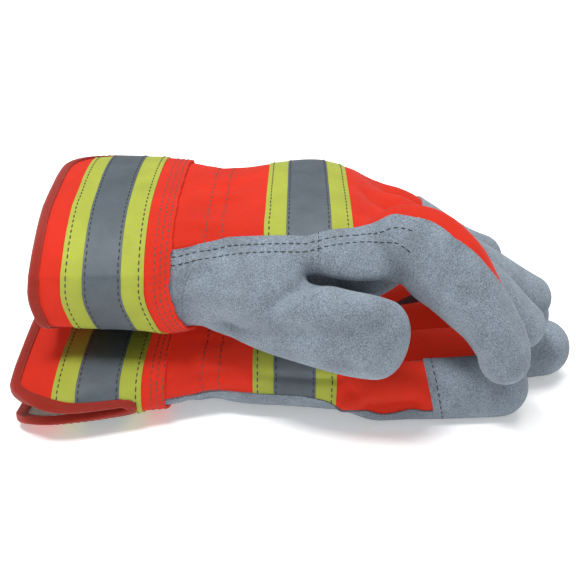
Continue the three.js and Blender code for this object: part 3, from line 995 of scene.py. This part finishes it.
def limb_skin(glove, stations, margin, joined, fade, free, finger=None):
    """A finger or the thumb, and the smooth shoulder where it grows out of the hand.

    joined gives the limb's field together with the hand's. The hand fades out along x between the two ends of
    fade, and all of the limb shows past free.
    """
    places = np.array(stations, float)[:, :3]

    def field(points):
        return joined(points, hand_field(glove, points) + HAND_FADE * smooth(points[:, 0], *fade))

    def values(points):
        hand = hand_field(glove, points)
        shown = hand - joined(points, hand)
        return {"shown": np.maximum(shown - LEAST_SHOWN, (points[:, 0] - free) * 0.2)}

    skin = made_skin(glove, field, places.min(axis=0) - margin, places.max(axis=0) + margin, finger, values)
    return skin.above("shown", 0.0)


def finger_skin(glove, finger):
    def joined(points, hand):
        strand = strand_local(finger["stations"], points)
        return grooved(glove, points, soft_min(strand["distance"] + SKIN_INSET, hand, KNUCKLE_BLEND))

    return limb_skin(glove, finger["stations"], 24, joined, (42, 62), 50, finger)


def thumb_skin(glove):
    """The thumb, with a wide shoulder that narrows where the thumb comes free of the hand."""
    thumb = glove["thumb"]
    free = thumb["free"]

    def joined(points, hand):
        strand = strand_local(thumb["stations"], points, thumb["across"])
        radius = 12 - 8 * smooth(points[:, 0], free - 16, free)
        return soft_min(strand["distance"] + SKIN_INSET, hand, radius)

    return limb_skin(glove, thumb["stations"], 28, joined, (free - 8, free + 8), free - 4)


def cuff_skin(glove):
    """The cuff's tube, with x along it, distance from its bound edge, and cloth coordinates."""
    around = 264
    along = 64
    table = glove["sleeve"]
    angle = np.linspace(0, 2 * math.pi, around, endpoint=False)
    u = np.linspace(-0.04, CUFF_END + 0.06, along)
    a, b = np.meshgrid(angle, u)
    points = sleeve_point(table, np.maximum(b, 0), a, -CUFF_FABRIC[1])
    before = np.minimum(b, 0) * (table[1][0] - table[0][0])
    points[..., 0] += before
    angles, at_hem, at_seam = np.array(glove["skew"], float).T
    share = np.clip(b / CUFF_END, 0, 1)
    skew = [np.interp(np.degrees(a), angles, column) for column in (at_hem, at_seam)]
    points[..., 0] += skew[0] * (1 - share) + skew[1] * share
    row = spline(table, np.maximum(b, 0))
    x = row[..., 0] + before
    steps = np.linalg.norm(np.diff(points, axis=1, append=points[:, :1]), axis=2)
    arc = np.concatenate([np.zeros((along, 1)), np.cumsum(steps, axis=1)], axis=1)
    total = arc[:, -1:]
    slit = glove["slit"]
    start = np.interp(slit["angle"], np.degrees(angle), np.arange(around))
    at_slit = arc[:, int(start)][:, None]
    s = (arc[:, :-1] - at_slit + total / 2) % total - total / 2
    edge = edge_distance(glove, x, s)
    k = np.arange(along * around).reshape(along, around)
    right = np.roll(k, -1, axis=1)
    quads = np.stack([k[:-1], right[:-1], right[1:], k[1:]], -1).reshape(-1, 4)
    triangles = halves(quads)
    points = points.reshape(-1, 3)
    normals = point_normals(points, triangles)
    degrees = np.degrees(a).ravel()
    # the end of the cuff follows the hand that it is sewn to
    hugging = smooth(x.ravel(), glove["seam"] - 14, glove["seam"] - 2)
    past = sleeve_local(table, points)["distance"] + CUFF_FABRIC[1]
    points = points - normals * (hugging * past)[:, None]
    normals = point_normals(points, triangles)
    points = points + normals * cuff_waves(glove, points, degrees, x.ravel())[:, None]
    points[:, 2] = np.maximum(points[:, 2], BINDING[1] + 0.1)
    values = {"x": x.ravel(), "edge": edge.ravel(), "u": s.ravel(), "v": x.ravel(), "angle": degrees}
    return Skin(points, triangles, values)


def edge_distance(glove, x, s):
    """Distance into the cuff from its hem, its slit and the round corners between them."""
    slit = glove["slit"]
    long, wide = slit["corner"]
    hem = x - glove["sleeve"][0][0]
    opening = np.clip((slit["end"] - x) / (slit["end"] - glove["sleeve"][0][0]), 0, 1)
    side = np.abs(s) - 0.6 - slit["open"] * opening
    q = np.hypot(np.maximum(1 - hem / long, 0), np.maximum(1 - side / wide, 0)) + 1e-6
    slope = np.hypot(np.maximum(1 - hem / long, 0) / long, np.maximum(1 - side / wide, 0) / wide) / q
    rounded = (1 - q) / np.maximum(slope, 1e-6)
    past = x - slit["end"]
    to_end = np.hypot(np.maximum(past, 0), s)
    return np.where(past < 0, rounded, np.minimum(np.maximum(rounded, to_end), hem))


def cuff_waves(glove, points, degrees, x):
    seed = 7 if glove["side"] > 0 else 19
    waves = 0.8 * noise(points, 30, seed) + 0.25 * noise(points, 12, seed + 1)
    if glove["side"] > 0:
        turned = (degrees - 166 + 180) % 360 - 180
        crease = 1.6 * np.exp(-np.abs(turned) / 7)
        dent = -1.2 * np.exp(-(((turned - 26) / 12) ** 2))
        under = -2.0 * np.exp(-(((degrees - 236) / 16) ** 2)) * smooth(glove["seam"] - x, 8, 25)
        waves = waves + crease + dent + under
    else:
        lifted = np.exp(-(((degrees - 172) / 12) ** 2)) * smooth(-x, 66, 110)
        waves = waves + 2.0 * lifted
    return waves * (1 - smooth(x, glove["seam"] - 12, glove["seam"] - 2))


def place(piece, glove, nodes, finger=None):
    """The piece stands for its CAD nodes and rides on the glove's body; a piece of a finger that has a body
    of its own is left on no body.
    """
    if nodes:
        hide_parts(*[f"{glove['name']}_{node}" for node in nodes])
    body = f"{glove['name']}_glove"
    moving = f"{glove['name']}_{finger}"
    if finger and moving in frame["bodies"]:
        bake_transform(piece)
    else:
        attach(piece, body)


def add_panel(glove, label, skin, layer, slot, nodes, finger=None, change=0.0):
    """A panel in the material of its slot, which stands for its CAD nodes."""
    piece = panel(f"{glove['name']}_{label}", skin, layer, MATERIALS[slot], change)
    place(piece, glove, nodes, finger)


def add_stitches(glove, label, lines, thread, offset, finger=None, **shape):
    """Rows of stitches, which stand for no CAD node."""
    piece = stitches(f"{glove['name']}_{label}", lines, MATERIALS[thread], offset, **shape)
    place(piece, glove, [], finger)


def contours(skin, name, levels):
    return [line for level in levels for line in contour(skin, name, level)]


def add_tapes(glove, part, base, bands):
    """Bands of tape round a base, each (colour, low, high, layer, inset of a stitch row along both edges)."""
    rows = []
    for colour, low, high, layer, inset in bands:
        band = base.band("x", low, high)
        nodes = [f"{part}_tape_{colour}"]
        add_panel(glove, f"{part}_{colour}_band", band, layer, f"{colour}_tape", nodes)
        rows.append((colour, contours(band, "x", (low + inset, high - inset)), layer[1]))
    for colour, lines, offset in rows:
        add_stitches(glove, f"{part}_{colour}_stitches", lines, "dark_thread", offset)


def make_cuff(glove):
    skin = cuff_skin(glove)
    x = skin.values["x"]
    skin.values["ragged"] = x + 0.5 * noise(skin.points, 1.6, 2) + 0.4 * noise(skin.points, 5, 4)
    seam = glove["seam"]
    covered = skin.above("edge", BINDING_WIDTH - 1)
    shell = covered.below("ragged", seam)
    add_panel(glove, "cuff_fabric", shell, CUFF_FABRIC, "orange_fabric", ["cuff_shell"])
    lining = covered.below("x", seam - 4)
    add_panel(glove, "cuff_lining_cloth", lining, CUFF_LINING, "lining", ["cuff_lining"])

    band = skin.band("edge", 0.0, BINDING_WIDTH)
    for level in ROUNDING_CUTS:
        band = band.split("edge", level)
    half = (BINDING[1] - BINDING[0]) / 2
    inwards = np.clip(1 - band.values["edge"] / ROUNDING_CUTS[-1], 0, 1)
    round_off = half * (1 - np.sqrt(1 - inwards**2))
    add_panel(
        glove, "cuff_edge_binding", band, BINDING, "edge_binding", ["cuff_binding"], change=-round_off
    )

    outer_low, inner_low, inner_high, outer_high = glove["tapes"]
    lime_inset, silver_inset = CUFF_ROWS_INSET
    lime = ("lime", outer_low, outer_high, CUFF_LIME, lime_inset)
    silver = ("silver", inner_low, inner_high, CUFF_SILVER, silver_inset)
    add_tapes(glove, "cuff", skin.above("edge", BINDING_WIDTH - 0.6), [lime, silver])

    rows = contours(shell, "x", [seam - back for back in SEAM_ROWS])
    add_stitches(glove, "cuff_seam_stitches", rows, "grey_thread", CUFF_FABRIC[1])
    rows = contour(band, "edge", BINDING_WIDTH - 1.4)
    add_stitches(glove, "binding_stitches", rows, "red_thread", BINDING[1], radius=0.2)


def make_hand(glove):
    skin = hand_skin(glove)
    back = skin.above("back", -CLOTH_UNDER_LEATHER)
    leather = skin.below("back", 0.0)
    add_panel(glove, "back_fabric", back, FABRIC, "orange_fabric", ["hand_back"])
    add_panel(glove, "palm_leather", leather, LEATHER, "suede", ["palm"])
    add_panel(glove, "palm_lining_cloth", leather, LINING, "lining", ["palm_lining"])
    first, second = glove["elastic"]
    elastic = back.band("x", first - 1.5, second + 1.5)
    add_panel(glove, "wrist_elastic_band", elastic, ELASTIC, "elastic", ["wrist_elastic"])

    start = glove["tape"]
    end = start + TAPE_WIDTH
    inset = (TAPE_WIDTH - SILVER_WIDTH) / 2
    lime_inset, silver_inset = KNUCKLE_ROWS_INSET
    lime = ("lime", start, end, LIME, lime_inset)
    silver = ("silver", start + inset, end - inset, SILVER, silver_inset)
    add_tapes(glove, "knuckle", back, [lime, silver])

    rows = contours(back, "x", glove["elastic"])
    add_stitches(glove, "elastic_stitches", rows, "grey_thread", FABRIC[1])
    rows = contours(leather, "back", BORDER_ROWS)
    keep = lambda places: (places[:, 0] < glove["rows_end"]) & (places[:, 1] * glove["rows_side"] > 0)
    add_stitches(glove, "border_stitches", rows, "dark_thread", LEATHER[1], keep=keep)
    if "thumb_seam" in glove:
        near = leather.band("back", -20.0, -0.5)
        rows = contour(near, "x", glove["thumb_seam"])
        small = {"length": 1.7, "pitch": 2.0, "radius": 0.2, "keep": lambda places: places[:, 1] < 0}
        add_stitches(glove, "thumb_seam", rows, "dark_thread", LEATHER[1], **small)


def make_finger(glove, finger):
    data = glove["fingers"][finger]
    skin = finger_skin(glove, data)
    fabric = skin.above("back", -CLOTH_UNDER_LEATHER)
    add_panel(glove, f"{finger}_fabric", fabric, FABRIC, "orange_fabric", [f"{finger}_back"], finger)
    leather = skin.below("back", 0.0)
    front = leather.below("length", data["cap"])
    add_panel(glove, f"{finger}_leather", front, LEATHER, "suede", [f"{finger}_front"], finger)
    if "rows_end" in data:
        rows = contours(leather, "back", BORDER_ROWS)
        keep = lambda places: places[:, 0] < data["rows_end"]
        add_stitches(glove, f"{finger}_border_stitches", rows, "dark_thread", LEATHER[1], finger, keep=keep)
    cap = leather.above("length", data["cap"])
    add_panel(glove, f"{finger}_leather_cap", cap, LEATHER, "suede", [f"{finger}_tip"], finger)
    if "cap_row" in data:
        rows = contour(cap, "length", data["cap"] + data["cap_row"])
        add_stitches(glove, f"{finger}_cap_stitches", rows, "dark_thread", LEATHER[1], finger)


def make_thumb(glove):
    skin = thumb_skin(glove)
    add_panel(glove, "thumb_leather", skin, LEATHER, "suede", ["thumb_front", "thumb_back"], "thumb")
    rows = contours(skin, "back", BORDER_ROWS)
    keep = lambda places: places[:, 1] * glove["rows_side"] > 0
    add_stitches(glove, "thumb_border_stitches", rows, "dark_thread", LEATHER[1], "thumb", keep=keep)


for one_glove in (RIGHT, LEFT):
    make_cuff(one_glove)
    make_hand(one_glove)
    for one_finger in one_glove["fingers"]:
        make_finger(one_glove, one_finger)
    make_thumb(one_glove)


# ---- Floor, light and camera ----


def make_floor():
    size = 6.0
    corners = [(-size, -size, 0), (size, -size, 0), (size, size, 0), (-size, size, 0)]
    mesh = bpy.data.meshes.new("floor")
    mesh.from_pydata(corners, [], [(0, 1, 2, 3)])
    white = (1.0, 1.0, 1.0, 1.0)
    glow = {"Emission Color": white, "Emission Strength": 0.32}
    surface = Shading("floor", {"Base Color": (0.93, 0.93, 0.93, 1.0), "Roughness": 0.9, **glow})
    mesh.materials.append(surface.material)
    floor = linked("floor", mesh)


def area_light(name, place_m, size, power):
    """A round soft light aimed at the middle of the pair."""
    light = bpy.data.lights.new(name, "AREA")
    light.shape = "DISK"
    light.size = size
    light.energy = power
    obj = linked(name, light)
    obj.location = place_m
    direction = np.subtract((0, 0, 0.04), place_m)
    yaw = math.atan2(direction[0], -direction[1])
    pitch = math.atan2(math.hypot(direction[0], direction[1]), -direction[2])
    obj.rotation_euler = (pitch, 0.0, yaw)


def make_camera():
    """Straight across the pair, from well above."""
    elevation = math.radians(27)
    distance = 0.9
    width = 0.265  # what the frame takes in at that distance
    aim_height = 46.5
    target = (np.array([0.0, 0.0, aim_height]) - PART_ORIGIN) * MM
    camera = bpy.data.cameras.new("camera")
    camera.sensor_fit = "HORIZONTAL"
    camera.angle = 2 * math.atan(width / 2 / distance)
    camera.clip_start = 0.01
    obj = linked("camera", camera)
    away = np.array([0, -math.cos(elevation), math.sin(elevation)])
    obj.location = target + away * distance
    obj.rotation_euler = (math.pi / 2 - elevation, 0, 0)
    bpy.context.scene.camera = obj


def make_world():
    world = bpy.data.worlds.new("studio")
    world.use_nodes = True
    background = world.node_tree.nodes["Background"]
    background.inputs["Color"].default_value = (1.0, 1.0, 1.0, 1.0)
    background.inputs["Strength"].default_value = 0.36
    bpy.context.scene.world = world


make_floor()
make_world()
make_camera()
area_light("key", (-0.3, -0.42, 1.1), 0.4, 15.5)
area_light("top", (0.3, 0.3, 1.1), 0.8, 9.5)
area_light("front", (-0.4, -1.15, 0.5), 0.7, 5.0)
bpy.context.scene.view_settings.view_transform = "Standard"
